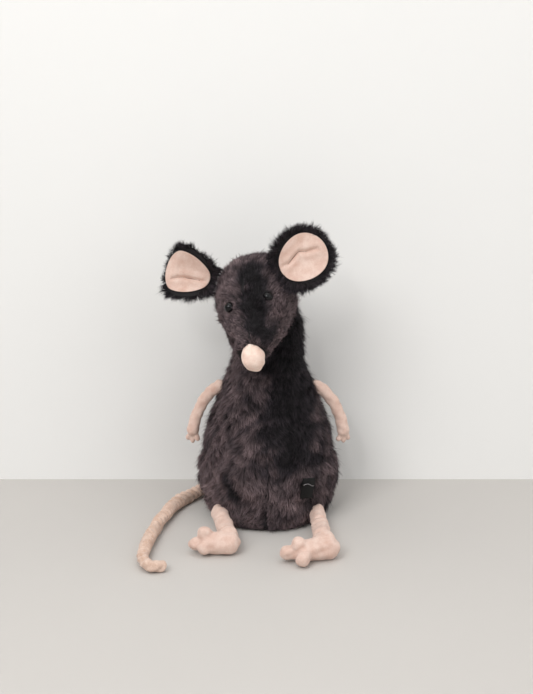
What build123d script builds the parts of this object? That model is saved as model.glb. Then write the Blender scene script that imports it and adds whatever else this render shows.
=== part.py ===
from build123d import *

import os
from math import cos, radians, sin, sqrt, tan

# Seated plush rat, in millimetres: +Z up, facing -Y, origin on the table under the torso's axis.
# The toy's own left is +X. The torso is a pear of long-pile plush over fibre filling and a bag of
# pellets. The head, ears, arms, legs, feet and tail are separate stuffed or lined pieces sewn to it,
# so each of them turns about its own seam.

# Cloth
plush_wall = 3.5  # long-pile plush, backing and the dense foot of the pile
velour_wall = 1.2  # short-pile velour of the limbs, nose and ear linings
fabric_gap = 0.3  # air between a cover and what fills it
seam_gap = 0.8  # room round a sewn-in limb, so that it can turn
ankle_gap = 0.8

# Torso, a body of revolution
base_radius = 48
belly_radius, belly_height = 65.5, 40
ribs_radius, ribs_height = 59, 79
shoulder_radius, shoulder_height = 43, 124
neck_radius, neck_height = 33, 155
crown_radius, crown_height = 22, 167
base_seam_height = 6

# Pellet bag in the seat
bag_radius, bag_height, bag_corner = 43, 30, 12
bag_wall = 0.8

# Neck
neck_rise = 16  # of the neck's pivot over the torso's crown
neck_ball_radius = 14
neck_core_radius = 10
neck_core_depth = 26  # how far the core reaches down from the pivot
neck_thread = 1.4  # ladder stitch that ties the head on

# Head, a body of revolution about its own axis, from the skull's centre to the nose
head_lean, head_forward, head_rise = 11, 12, 33  # of its centre from the neck's pivot: -X, -Y, up
head_yaw, head_pitch, head_roll = 0, 36, 20  # towards -X, down, crown towards -X
skull_radius = 36
temple_radius, temple_station = 34.5, 14
eye_radius, eye_station = 29, 34
muzzle_radius, muzzle_station = 19.5, 56
snout_radius, snout_station = 15, 70
back_seam_station = -11
chin_seam_depth = 15
nose_radius, nose_length = 10.8, 15

# Safety eyes
eye_ball_radius = 4.7
eye_azimuth = 37  # each side of the ridge of the head
eye_tilt = 20  # the face narrows towards the nose by this slope
eye_lift = 0.6  # of the eye's flat back over the face
eye_shank_radius, eye_shank_length = 1.5, 11
eye_washer_radius, eye_washer_thickness = 5.5, 1.4
shank_clearance = 0.2

# Ears, dished discs
ear_radius = 29
ear_lining_radius = 24.5
ear_root_offset = 25  # from the root line to the disc's centre
ear_dish_radius = 62  # sphere that the disc is a cap of
ear_plush = 3.6
ear_lining = 1.5
ear_standoff = 3.6  # from the head's surface to the root line
ear_azimuth = {"left": 52, "right": 50}  # from the ridge of the head
ear_station = {"left": 11, "right": -2}
ear_turn = {"left": 56, "right": 54}  # of the root line, from straight back to the ridge
ear_lean = {"left": 57, "right": 10}  # back from standing square off the head

# Arms
arm_radius = 5.8
arm_root_swell, hand_swell = 0.6, 0.3
arm_standoff = 3.5  # of the shoulder's pivot from the torso
arm_path = ((8, 0, -5), (17, 0, -16), (26, -1, -36), (29, -2, -51))  # from the shoulder
finger_radius, finger_reach, finger_spread = 2.6, 5.4, 38

# Legs and feet
hip_bearing = 45  # round the torso from straight ahead
hip_height = 17
leg_radius = 7.2
hip_ball_swell = 0.8
hip_standoff = 5.5  # of the hip's pivot from the torso
ankle_place = {"left": (49, -109.5), "right": (-35, -99)}
foot_radius = 9.0
foot_lift = 0.4  # of the sole over the table
foot_set = 10  # how far the foot lies in front of its ankle
foot_length = {"left": 28, "right": 21}  # from the heel's centre to the ball of the foot
foot_bearing = {"left": 196, "right": 180}  # where the toes point, from +X towards +Y
toe_radius = 5.0
toe_fan = ((11.5, 50, -10), (13, 8, -5), (11.5, -20, 42))  # reach, rise, sway to the front

# Tail, three lengths of one sleeve
tail_radius = {"root": 7.4, "middle": 6.6, "tip": 5.8}
tail_swell = 0.4  # of the rounded start of each length
tail_socket_gap = 2.4
tail_root_standoff = 4.4  # of the first pivot from the torso
tail_standoff = 2.9  # of the root length from the torso's widest part
# Bearing from +X and reach beyond the standoff
tail_root_course = ((99.3, 0), (114.4, 4.1), (135.6, 3), (163, 6.9), (181.6, 19.6))
tail_steps = {  # from the end of the length before
    "middle": ((-10.5, -34.5), (-17.5, -75.5), (-20.5, -108.5)),
    "tip": ((1, -25), (9.5, -38.5), (22.5, -36)),
}

# Label
label_width, label_drop, label_cloth, label_fold = 12, 19, 0.5, 0.6
label_bearing, label_top = 38, 49

SIDES = {"left": 1, "right": -1}


os.makedirs("parts", exist_ok=True)


def write(piece, name):
    """Labels one finished piece and writes it as its own STEP file."""
    piece.part.label = name
    export_step(piece.part, f"parts/{name}.step")


def cut(*bodies):
    """Takes bodies away from the part that is being built."""
    for body in bodies:
        add(body, mode=Mode.SUBTRACT)


def keep_beyond(*planes):
    """Keeps what lies on the positive side of every plane, in the part that is being built."""
    for plane in planes:
        split(bisect_by=plane, keep=Keep.TOP)


def ball(centre, radius):
    """A sphere at a point, for a fit round a pivot."""
    with BuildPart() as sphere:
        with Locations(centre):
            Sphere(radius)
    return sphere.part


def facing(direction, origin=(0, 0, 0)):
    """A plane whose positive side lies along a direction."""
    return Plane(origin=origin, z_dir=direction)


# ---------------------------------------------------------------- torso


def torso_block(inset):
    """The torso's pear, taken in by inset all over."""
    with BuildPart() as block:
        with BuildSketch(Plane.XZ):
            with BuildLine():
                side = Spline(
                    (base_radius - inset, inset),
                    (belly_radius - inset, belly_height),
                    (ribs_radius - inset, ribs_height),
                    (shoulder_radius - inset, shoulder_height),
                    (neck_radius - inset, neck_height),
                    (crown_radius - inset, crown_height - inset),
                )
                Polyline(side @ 1, (0, crown_height - inset), (0, inset), side @ 0)
            make_face()
        revolve(axis=Axis.Z)
    return block.part


def bag_block(inset):
    """The pellet bag's cushion shape, taken in by inset all over."""
    floor = plush_wall + fabric_gap + inset
    with BuildPart() as cushion:
        with Locations((0, 0, floor)):
            Cylinder(
                bag_radius - inset,
                bag_height - 2 * inset,
                align=(Align.CENTER, Align.CENTER, Align.MIN),
            )
        fillet(cushion.edges().filter_by(GeomType.CIRCLE), bag_corner - inset)
    return cushion.part


def torso_radius_at(height):
    """The torso's radius at a height, measured on its block."""
    disc = Face.make_rect(4 * belly_radius, 4 * belly_radius, Plane.XY.offset(height))
    return (torso_block(0) & disc).bounding_box().max.X


neck_pivot = Vector(0, 0, crown_height + neck_rise)
hip_reach = torso_radius_at(hip_height) + hip_standoff
hip = {
    side: Vector(
        sign * hip_reach * sin(radians(hip_bearing)),
        -hip_reach * cos(radians(hip_bearing)),
        hip_height,
    )
    for side, sign in SIDES.items()
}
shoulder = {
    side: Vector(sign * (shoulder_radius + arm_standoff), 0, shoulder_height)
    for side, sign in SIDES.items()
}
arm_root_radius = arm_radius + arm_root_swell
hip_ball_radius = leg_radius + hip_ball_swell
tail_height = {length: radius + tail_swell for length, radius in tail_radius.items()}
tail_root_reach = torso_radius_at(tail_height["root"]) + tail_root_standoff
tail_root = (0, tail_root_reach, tail_height["root"])

sockets = [
    *(ball(shoulder[side], arm_root_radius + seam_gap) for side in SIDES),
    *(ball(hip[side], hip_ball_radius + seam_gap) for side in SIDES),
    ball(tail_root, tail_radius["root"] + tail_swell + tail_socket_gap),
]
with BuildPart() as neck_hole:
    with Locations(neck_pivot):
        Sphere(neck_ball_radius + fabric_gap)
        Cylinder(
            neck_core_radius + fabric_gap,
            neck_core_depth,
            align=(Align.CENTER, Align.CENTER, Align.MAX),
        )

with BuildPart() as torso_skin:
    add(torso_block(0))
    cut(torso_block(plush_wall), neck_hole.part, *sockets)

above_base = Plane.XY.offset(base_seam_height)
below_base = facing((0, 0, -1), (0, 0, base_seam_height))
side_planes = {"left": Plane.YZ, "right": facing((-1, 0, 0))}
end_planes = {"front": facing((0, -1, 0)), "back": facing((0, 1, 0))}
with BuildPart() as torso_base_panel:
    add(torso_skin.part)
    keep_beyond(below_base)
write(torso_base_panel, "torso_base_panel")
for end, end_plane in end_planes.items():
    for side, side_plane in side_planes.items():
        with BuildPart() as torso_panel:
            add(torso_skin.part)
            keep_beyond(above_base, end_plane, side_plane)
        write(torso_panel, f"torso_{end}_{side}_panel")

with BuildPart() as torso_stuffing:
    add(torso_block(plush_wall + fabric_gap))
    cut(bag_block(-fabric_gap), neck_hole.part, *sockets)
write(torso_stuffing, "torso_stuffing")

with BuildPart() as pellet_bag:
    add(bag_block(0))
    cut(bag_block(bag_wall))
write(pellet_bag, "pellet_bag")

with BuildPart() as pellets:
    add(bag_block(bag_wall + fabric_gap))
write(pellets, "pellets")


# ---------------------------------------------------------------- label

label_reach = torso_radius_at(label_top - label_drop / 2) + fabric_gap
label_out = Vector(sin(radians(label_bearing)), -cos(radians(label_bearing)), 0)
label_plane = Plane(
    origin=Vector(0, 0, label_top) + label_out * label_reach,
    x_dir=label_out,
    z_dir=Vector(0, 0, 1).cross(label_out),
)
with BuildPart() as side_label:
    with BuildSketch(label_plane):
        with BuildLine():
            outer = label_cloth * 2 + label_fold
            Polyline(
                (0, 0),
                (label_cloth, 0),
                (label_cloth, -label_drop + label_cloth),
                (label_cloth + label_fold, -label_drop + label_cloth),
                (label_cloth + label_fold, 0),
                (outer, 0),
                (outer, -label_drop),
                (0, -label_drop),
                close=True,
            )
        make_face()
    extrude(amount=label_width / 2, both=True)
write(side_label, "side_label")


# ---------------------------------------------------------------- neck

with BuildPart() as neck_stuffing:
    with Locations(neck_pivot):
        Sphere(neck_ball_radius)
        Cylinder(
            neck_core_radius,
            neck_core_depth - fabric_gap,
            align=(Align.CENTER, Align.CENTER, Align.MAX),
        )
write(neck_stuffing, "neck_stuffing")

with BuildPart() as neck_seam_thread:
    with Locations(neck_pivot):
        Torus(neck_ball_radius + fabric_gap + neck_thread / 2, neck_thread / 2)
write(neck_seam_thread, "neck_seam_thread")
neck_socket = ball(neck_pivot, neck_ball_radius + neck_thread + 2 * fabric_gap)


# ---------------------------------------------------------------- head


def head_frame():
    """The head's plane: X to its own left, Y towards the ridge and Z along the snout."""
    yaw, pitch, roll = radians(head_yaw), radians(head_pitch), radians(head_roll)
    snout = Vector(-sin(yaw) * cos(pitch), -cos(yaw) * cos(pitch), -sin(pitch))
    level = Vector(cos(yaw), -sin(yaw), 0)
    ridge = snout.cross(level)
    sideways = level * cos(roll) + ridge * sin(roll)
    centre = neck_pivot + Vector(-head_lean, -head_forward, head_rise)
    return Plane(origin=centre, x_dir=sideways, z_dir=snout)


head = head_frame()


def in_head(x, y, z):
    """A point given in the head's own frame."""
    return head.from_local_coords(Vector(x, y, z))


def head_direction(x, y, z):
    """A direction given in the head's own frame."""
    return in_head(x, y, z) - head.origin


def head_block(inset):
    """The skull and snout, taken in by inset all over."""
    profile = Plane(origin=head.origin, x_dir=head.x_dir, z_dir=-head.y_dir)
    with BuildPart() as block:
        with BuildSketch(profile):
            with BuildLine():
                side = Spline(
                    (0, -skull_radius + inset),
                    (skull_radius - inset, 0),
                    (temple_radius - inset, temple_station),
                    (eye_radius - inset, eye_station),
                    (muzzle_radius - inset, muzzle_station),
                    (snout_radius - inset, snout_station - inset),
                    tangents=((1, 0), (-0.25, 1)),
                )
                Polyline(side @ 1, (0, snout_station - inset), side @ 0)
            make_face()
        revolve(axis=Axis(head.origin, head.z_dir))
    return block.part


def eye_plane(side):
    """On the face at an eye, looking out along the eye's shank."""
    azimuth, tilt = radians(SIDES[side] * eye_azimuth), radians(eye_tilt)
    out = (sin(azimuth), cos(azimuth))
    origin = in_head(out[0] * eye_radius, out[1] * eye_radius, eye_station)
    normal = head_direction(out[0] * cos(tilt), out[1] * cos(tilt), sin(tilt))
    return Plane(origin=origin, z_dir=normal)


def shank_block(plane, radius):
    """The eye's shank, or the hole for it."""
    with BuildPart() as shank:
        with BuildSketch(plane):
            Circle(radius)
        extrude(amount=-eye_shank_length)
    return shank.part


def washer_seat(plane, clearance):
    """The washer's disc inside the cloth, or the room for it in the filling."""
    top = -plush_wall - 2 * fabric_gap + clearance
    with BuildPart() as disc:
        with BuildSketch(plane.offset(top)):
            Circle(eye_washer_radius + clearance)
        extrude(amount=-eye_washer_thickness - 2 * clearance)
    return disc.part


eye_planes = {side: eye_plane(side) for side in SIDES}
shank_holes = [
    shank_block(plane, eye_shank_radius + shank_clearance)
    for plane in eye_planes.values()
]
with BuildPart() as head_skin:
    add(head_block(0))
    cut(head_block(plush_wall), neck_socket, *shank_holes)

ahead = Plane(in_head(0, 0, back_seam_station), z_dir=head.z_dir)
behind = Plane(ahead.origin, z_dir=-head.z_dir)
over_chin = Plane(in_head(0, -chin_seam_depth, 0), z_dir=head.y_dir)
under_chin = Plane(over_chin.origin, z_dir=-head.y_dir)
head_cuts = {
    "back": (behind,),
    "chin": (ahead, under_chin),
    "left": (ahead, over_chin, Plane(head.origin, z_dir=head.x_dir)),
    "right": (ahead, over_chin, Plane(head.origin, z_dir=-head.x_dir)),
}
for name, planes in head_cuts.items():
    with BuildPart() as head_panel:
        add(head_skin.part)
        keep_beyond(*planes)
    write(head_panel, f"head_{name}_panel")

with BuildPart() as head_stuffing:
    add(head_block(plush_wall + fabric_gap))
    cut(neck_socket, *shank_holes)
    cut(*(washer_seat(plane, fabric_gap) for plane in eye_planes.values()))
write(head_stuffing, "head_stuffing")


def nose_block(inset):
    """The nose's rounded stub on the snout's end, taken in by inset all over."""
    root = snout_station + fabric_gap + inset
    dome = nose_radius - inset
    with BuildPart() as stub:
        with BuildSketch(Plane(in_head(0, 0, root), z_dir=head.z_dir)):
            Circle(dome)
        extrude(amount=nose_length - 2 * inset)
        fillet(stub.faces().sort_by(Axis(head.origin, head.z_dir))[-1].edges(), dome * 0.82)
    return stub.part


with BuildPart() as nose_cap:
    add(nose_block(0))
    cut(nose_block(velour_wall))
write(nose_cap, "nose_cap")

with BuildPart() as nose_stuffing:
    add(nose_block(velour_wall + fabric_gap))
write(nose_stuffing, "nose_stuffing")

for side, plane in eye_planes.items():
    with BuildPart() as eye:
        with Locations(plane.origin):
            Sphere(eye_ball_radius)
        split(bisect_by=plane.offset(eye_lift), keep=Keep.TOP)
        add(shank_block(plane.offset(eye_lift), eye_shank_radius))
    write(eye, f"eye_{side}")

    with BuildPart() as eye_washer:
        add(washer_seat(plane, 0))
        cut(shank_block(plane, eye_shank_radius + shank_clearance))
    write(eye_washer, f"eye_washer_{side}")


# ---------------------------------------------------------------- ears


def ear_plane(side):
    """At an ear's root: X out along the ear, Y along its hinge and Z where its lining faces."""
    sign, azimuth = SIDES[side], radians(ear_azimuth[side])
    station = ear_station[side]
    ring = sqrt((skull_radius + ear_standoff) ** 2 - station**2)
    root = Vector(sign * ring * sin(azimuth), ring * cos(azimuth), station)
    normal = head_direction(*root).normalized()
    back = (-head.z_dir + normal * head.z_dir.dot(normal)).normalized()
    hinge = back.rotate(Axis((0, 0, 0), normal), sign * ear_turn[side])
    out = normal.rotate(Axis((0, 0, 0), hinge), sign * ear_lean[side])
    return Plane(origin=in_head(*root), x_dir=out, z_dir=out.cross(hinge) * sign)


def ear_cap(plane, radius, near, far):
    """A dished disc between two depths behind its lining, cut off at the root line."""
    inner, outer = ear_dish_radius, ear_dish_radius + ear_lining + ear_plush
    root_depth = (sqrt(inner**2 - ear_root_offset**2) + sqrt(outer**2 - ear_root_offset**2)) / 2
    centre = plane.from_local_coords(Vector(ear_root_offset, 0, root_depth))
    with BuildPart() as cap:
        with Locations(centre):
            Sphere(ear_dish_radius + far)
            Sphere(ear_dish_radius + near, mode=Mode.SUBTRACT)
        with BuildSketch(plane.offset(-ear_dish_radius / 4)):
            with Locations((ear_root_offset, 0)):
                Circle(radius)
        extrude(amount=ear_dish_radius / 2, mode=Mode.INTERSECT)
        split(bisect_by=facing(plane.x_dir, plane.origin), keep=Keep.TOP)
    return cap.part


for side in SIDES:
    plane = ear_plane(side)
    with BuildPart() as ear_lining_piece:
        add(ear_cap(plane, ear_lining_radius, 0, ear_lining))
    write(ear_lining_piece, f"ear_{side}_lining")

    with BuildPart() as ear_back:
        add(ear_cap(plane, ear_radius, ear_lining + fabric_gap, ear_lining + ear_plush))
    write(ear_back, f"ear_{side}_back")


# ---------------------------------------------------------------- limbs


def course_radii(points):
    """The radius of the arc at each corner of a run, as large as its two straights allow."""
    radii = []
    for before, corner, after in zip(points, points[1:], points[2:]):
        turn = radians((corner - before).get_angle(after - corner))
        straight = min((corner - before).length, (after - corner).length)
        radii.append(0.45 * straight / tan(turn / 2))
    return radii


def tube(points, radius):
    """A round tube along straights joined by tangent arcs."""
    with BuildPart() as run:
        with BuildLine():
            course = FilletPolyline(*points, radius=course_radii(points))
        with BuildSketch(Plane(origin=course @ 0, z_dir=course % 0)):
            Circle(radius)
        sweep()
    return run.part


def capsule(start, end, radius):
    """A straight round bar with rounded ends, from the centre of one end to the other's."""
    start, run = Vector(start), Vector(end) - Vector(start)
    length = run.length
    lengthwise = Plane(origin=start, z_dir=run)
    with BuildPart() as bar:
        with BuildSketch(Plane(origin=start, x_dir=run, z_dir=lengthwise.x_dir)):
            with BuildLine():
                CenterArc((0, 0), radius, 90, 90)
                Line((0, radius), (length, radius))
                CenterArc((length, 0), radius, 0, 90)
                Line((length + radius, 0), (-radius, 0))
            make_face()
        revolve(axis=Axis(start, run))
    return bar.part


def mirrored(body):
    """A left body as its right twin."""
    with BuildPart() as twin:
        mirror(body, about=Plane.YZ)
    return twin.part


def write_cover_and_filling(name, block):
    """A velour cover and the stuffing inside it, from one shape that can be taken in."""
    with BuildPart() as cover:
        add(block(0))
        cut(block(velour_wall))
    write(cover, f"{name}_sleeve")

    with BuildPart() as filling:
        add(block(velour_wall + fabric_gap))
    write(filling, f"{name}_stuffing")


def arm_block(side, inset):
    """An arm from its shoulder to its three short fingers, taken in by inset all over."""
    start = shoulder["left"]
    points = [start, *(start + Vector(step) for step in arm_path)]
    hand = points[-1]
    with BuildPart() as arm:
        add(tube(points, arm_radius - inset))
        add(ball(start, arm_root_radius - inset))
        add(ball(hand, arm_radius + hand_swell - inset))
        for turn in (-finger_spread, 0, finger_spread):
            drop = Vector(0, -sin(radians(turn)), -cos(radians(turn))) * finger_reach
            add(capsule(hand, hand + drop, finger_radius - inset))
    return arm.part if side == "left" else mirrored(arm.part)


def ankle_of(side):
    """The pivot between a leg and its foot, over the table by the foot's own radius."""
    return Vector(*ankle_place[side], foot_radius + foot_lift)


def leg_block(side, inset):
    """A leg from its hip to the pocket round its ankle, taken in by inset all over."""
    with BuildPart() as leg:
        add(capsule(hip[side], ankle_of(side), leg_radius - inset))
        add(ball(hip[side], hip_ball_radius - inset))
        cut(ball(ankle_of(side), leg_radius + ankle_gap + inset))
    return leg.part


def foot_block(side, inset):
    """A foot lying on its edge in front of its ankle, with three toes, taken in by inset."""
    bearing = radians(foot_bearing[side])
    toes_way = Vector(cos(bearing), sin(bearing), 0)
    forward = Vector(-sin(bearing), cos(bearing), 0)
    heel = ankle_of(side) + forward * foot_set
    pad = heel + toes_way * foot_length[side]
    with BuildPart() as foot:
        add(capsule(heel, pad, foot_radius - inset))
        add(capsule(ankle_of(side), heel, leg_radius - ankle_gap - inset))
        for reach, rise, sway in toe_fan:
            level = toes_way * cos(radians(sway)) + forward * sin(radians(sway))
            way = level * cos(radians(rise)) + Vector(0, 0, sin(radians(rise)))
            add(capsule(pad, pad + way * reach, toe_radius - inset))
    return foot.part


for side in SIDES:
    write_cover_and_filling(f"arm_{side}", lambda inset: arm_block(side, inset))
    write_cover_and_filling(f"leg_{side}", lambda inset: leg_block(side, inset))
    write_cover_and_filling(f"foot_{side}", lambda inset: foot_block(side, inset))


# ---------------------------------------------------------------- tail

tail_order = list(tail_radius)
torso_reach = belly_radius + tail_standoff


def tail_course(length):
    """The centre line of one length of the tail, seen from above."""
    if length == "root":
        return [
            (0, tail_root_reach),
            *(
                ((torso_reach + reach) * cos(radians(bearing)), (torso_reach + reach) * sin(radians(bearing)))
                for bearing, reach in tail_root_course
            ),
        ]
    start_x, start_y = tail_course(tail_order[tail_order.index(length) - 1])[-1]
    return [(start_x, start_y), *((start_x + x, start_y + y) for x, y in tail_steps[length])]


def tail_points(length):
    """The centre line of one length of the tail, lying on the table."""
    return [Vector(x, y, tail_height[length]) for x, y in tail_course(length)]


def tail_block(length, inset):
    """One length of the tail, with a pocket where the next one starts, taken in by inset."""
    points, radius = tail_points(length), tail_radius[length]
    with BuildPart() as run:
        add(tube(points, radius - inset))
        add(ball(points[0], radius + tail_swell - inset))
        if length == tail_order[-1]:
            add(ball(points[-1], radius + tail_swell - inset))
        else:
            cut(ball(points[-1], radius + seam_gap + inset))
    return run.part


for length in tail_order:
    write_cover_and_filling(f"tail_{length}", lambda inset: tail_block(length, inset))
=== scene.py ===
"""Looks of a seated plush rat: long-pile plush over stuffing, velour ears, nose, limbs and tail.

Metres, +Z up, the toy faces -Y and its own left is +X. Sizes below are in millimetres where a name
ends in _mm, and each class keeps the sizes of its own sub-assembly.
"""
import logging
import math
from dataclasses import dataclass, field
from enum import Enum
from typing import Callable, Optional, Sequence

import bmesh
import bpy
import numpy as np
from mathutils import Matrix, Vector, kdtree


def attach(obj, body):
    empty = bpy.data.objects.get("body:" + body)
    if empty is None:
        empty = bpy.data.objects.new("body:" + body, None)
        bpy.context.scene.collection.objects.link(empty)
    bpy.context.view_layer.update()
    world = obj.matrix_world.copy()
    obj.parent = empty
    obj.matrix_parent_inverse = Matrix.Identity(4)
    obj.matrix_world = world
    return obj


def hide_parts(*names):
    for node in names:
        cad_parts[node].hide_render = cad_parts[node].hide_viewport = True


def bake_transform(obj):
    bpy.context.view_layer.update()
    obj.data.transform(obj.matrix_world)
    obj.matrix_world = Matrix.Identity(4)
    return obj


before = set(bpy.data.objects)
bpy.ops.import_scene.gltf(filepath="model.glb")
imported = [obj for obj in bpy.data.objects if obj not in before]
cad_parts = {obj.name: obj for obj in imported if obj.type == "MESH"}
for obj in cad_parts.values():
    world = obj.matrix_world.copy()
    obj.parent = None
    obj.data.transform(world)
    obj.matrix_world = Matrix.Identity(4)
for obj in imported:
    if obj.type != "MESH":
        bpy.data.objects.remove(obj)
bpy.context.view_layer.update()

LOG = logging.getLogger("plush_rat")
MM = 0.001
NECK_PIVOT_MM = (0, 0, 183)
SHOULDER_MM = (46.5, 0, 124)
HIP_MM = (46.37, -46.37, 13)  # 4 mm under the leg's joint
EAR_ROOT_REACH_MM = 39.6  # of the ears' roots from the head's middle
BELLY_SEAM_X_MM = -1.5
Array = np.ndarray
Place = Callable[[Array, Array], Array]
Rule = Callable[[Array], Array]


class Side(Enum):
    """The toy's own two sides, with the sign of X."""

    LEFT = 1
    RIGHT = -1

    @property
    def word(self) -> str:
        """The side's name as the bodies use it."""
        return self.name.lower()


# ------------------------------------------------------------------ small tools


def linear(colour: str) -> tuple[float, float, float, float]:
    """Turns an sRGB hex colour to linear RGBA.

    Args:
        colour: Six hex digits after a hash.

    Returns:
        Red, green, blue and an alpha of one.
    """
    parts = [int(colour[i:i + 2], 16) / 255 for i in (1, 3, 5)]
    red, green, blue = (c / 12.92 if c <= 0.04045 else ((c + 0.055) / 1.055) ** 2.4 for c in parts)
    return red, green, blue, 1.0


def unit(v: Array) -> Array:
    """Rows of v at length one."""
    return v / np.maximum(np.linalg.norm(v, axis=-1, keepdims=True), 1e-12)


def ripple(points: Array, size: float, seed: int, waves: int = 7) -> Array:
    """A smooth uneven field between about -1 and 1, made of waves in many directions.

    Args:
        points: Places, one a row.
        size: The usual distance between two bumps.
        seed: Which field.
        waves: How many waves are added up.

    Returns:
        One value a point.
    """
    rng = np.random.default_rng(seed)
    ways = unit(rng.normal(size=(waves, 3))) * (2 * math.pi / size) * rng.uniform(0.6, 1.5, (waves, 1))
    phases = rng.uniform(0, 2 * math.pi, waves)
    return np.sin(points @ ways.T + phases).sum(axis=1) / math.sqrt(waves) * 0.9


def bump(x: Array, width: float) -> Array:
    """A bell of height one over x = 0."""
    return np.exp(-((x / width) ** 2))


def coords(mesh: bpy.types.Mesh) -> Array:
    """A mesh's vertex places, one a row."""
    flat = np.empty(len(mesh.vertices) * 3)
    mesh.vertices.foreach_get("co", flat)
    return flat.reshape(-1, 3)


def set_coords(mesh: bpy.types.Mesh, places: Array) -> None:
    """Moves a mesh's vertices."""
    mesh.vertices.foreach_set("co", places.reshape(-1))
    mesh.update()


def normals(mesh: bpy.types.Mesh) -> Array:
    """A mesh's vertex normals, one a row."""
    flat = np.empty(len(mesh.vertices) * 3)
    mesh.vertex_normals.foreach_get("vector", flat)
    return flat.reshape(-1, 3)


def to_object(shape: bmesh.types.BMesh, name: str) -> bpy.types.Object:
    """Makes a smooth-shaded object from a bmesh, with its faces pointing outward.

    Args:
        shape: The bmesh, which is freed.
        name: The object's name.

    Returns:
        The new object, in the scene.
    """
    bmesh.ops.recalc_face_normals(shape, faces=shape.faces)
    mesh = bpy.data.meshes.new(name)
    shape.to_mesh(mesh)
    shape.free()
    mesh.shade_smooth()
    piece = bpy.data.objects.new(name, mesh)
    bpy.context.scene.collection.objects.link(piece)
    return piece


def wrapped(name: str, columns: int, rows: int, place: Place) -> bpy.types.Object:
    """Wraps a grid round a shape and closes it where its edges meet.

    Args:
        name: The object's name.
        columns: Faces along u.
        rows: Faces along v.
        place: Gives a point for each u and v, both from 0 to 1.

    Returns:
        The new object.
    """
    shape = bmesh.new()
    bmesh.ops.create_grid(shape, x_segments=columns, y_segments=rows, size=0.5)
    flat = np.array([v.co[:] for v in shape.verts]) + 0.5
    for vert, spot in zip(shape.verts, place(flat[:, 0], flat[:, 1])):
        vert.co = spot
    bmesh.ops.remove_doubles(shape, verts=shape.verts, dist=2e-6)
    bmesh.ops.dissolve_degenerate(shape, edges=shape.edges, dist=1e-7)
    return to_object(shape, name)


def evaluated(piece: bpy.types.Object) -> bpy.types.Mesh:
    """The piece's mesh with its modifiers applied."""
    return bpy.data.meshes.new_from_object(piece.evaluated_get(bpy.context.evaluated_depsgraph_get()))


def settle(piece: bpy.types.Object) -> bpy.types.Object:
    """Applies every modifier on a piece and takes them off."""
    mesh = evaluated(piece)
    mesh.shade_smooth()
    piece.modifiers.clear()
    piece.data = mesh
    return piece


def moulded(name: str, bars: Sequence[tuple], voxel: float, smooth: int) -> bpy.types.Object:
    """Melts round bars together into one soft form, as stuffing does inside a sleeve.

    Args:
        name: The object's name.
        bars: Start, end, start radius and end radius of each bar.
        voxel: Size of the remesh.
        smooth: How often the form is smoothed.

    Returns:
        The new object.
    """
    shape = bmesh.new()
    for start, end, near, far in bars:
        start, end = Vector(start), Vector(end)
        way = end - start
        turn = way.to_track_quat("Z", "Y").to_matrix().to_4x4() if way.length > 1e-9 else Matrix()
        ball = bmesh.ops.create_icosphere(shape, subdivisions=4, radius=1.0)["verts"]
        for vert in ball:
            top = vert.co.z > 0
            vert.co = vert.co * (far if top else near)
            if top:
                vert.co.z += way.length
        bmesh.ops.transform(shape, matrix=Matrix.Translation(start) @ turn, verts=ball)
    piece = to_object(shape, name)
    remesh = piece.modifiers.new("melt", "REMESH")
    remesh.mode, remesh.voxel_size = "VOXEL", voxel
    relax = piece.modifiers.new("relax", "SMOOTH")
    relax.factor, relax.iterations = 0.5, smooth
    return settle(piece)


def swell(piece: bpy.types.Object, pressure: float, cap: float, hold: Optional[Rule] = None) -> None:
    """Lets a cloth simulation fill a skin like stuffing, then applies it.

    Args:
        piece: A closed skin.
        pressure: Pressure inside it.
        cap: The furthest that a point may move.
        hold: One weight a point, from 0, free, to 1, sewn down.
    """
    start = coords(piece.data)
    cloth = piece.modifiers.new("fill", "CLOTH")
    settings = cloth.settings
    settings.use_pressure, settings.uniform_pressure_force = True, pressure
    settings.effector_weights.gravity = 0
    settings.tension_stiffness = settings.compression_stiffness = 12
    settings.bending_stiffness = 0.4
    settings.quality = 5
    cloth.collision_settings.use_collision = False
    if hold is not None:
        group = piece.vertex_groups.new(name="sewn")
        for index, weight in enumerate(hold(start)):
            group.add([index], float(weight), "REPLACE")
        settings.vertex_group_mass = "sewn"
    scene = bpy.context.scene
    for step in range(1, 21):
        scene.frame_set(step)
    mesh = evaluated(piece)
    moved = coords(mesh) - start
    far = np.linalg.norm(moved, axis=1, keepdims=True)
    set_coords(mesh, start + moved * np.minimum(1, cap / np.maximum(far, 1e-9)))
    mesh.shade_smooth()
    piece.modifiers.clear()
    piece.vertex_groups.clear()
    piece.data = mesh
    scene.frame_set(1)


# ------------------------------------------------------------------ finishes


def node(tree: bpy.types.NodeTree, kind: str, inputs: Optional[dict] = None, **settings) -> bpy.types.Node:
    """Adds a node with its settings, values and links.

    Args:
        tree: The material's tree.
        kind: The node's type.
        inputs: Socket name or number to a value, or to an output socket that feeds it.
        settings: Attributes of the node itself.

    Returns:
        The node.
    """
    new = tree.nodes.new(kind)
    for key, value in settings.items():
        setattr(new, key, value)
    for key, value in (inputs or {}).items():
        if isinstance(value, bpy.types.NodeSocket):
            tree.links.new(value, new.inputs[key])
        else:
            new.inputs[key].default_value = value
    return new


def blank(name: str) -> tuple[bpy.types.Material, bpy.types.NodeTree, bpy.types.Node]:
    """A material with only its surface shader and output."""
    material = bpy.data.materials.new(name)
    material.use_nodes = True
    tree = material.node_tree
    tree.nodes.clear()
    shader = node(tree, "ShaderNodeBsdfPrincipled")
    node(tree, "ShaderNodeOutputMaterial", {"Surface": shader.outputs["BSDF"]})
    return material, tree, shader


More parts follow.
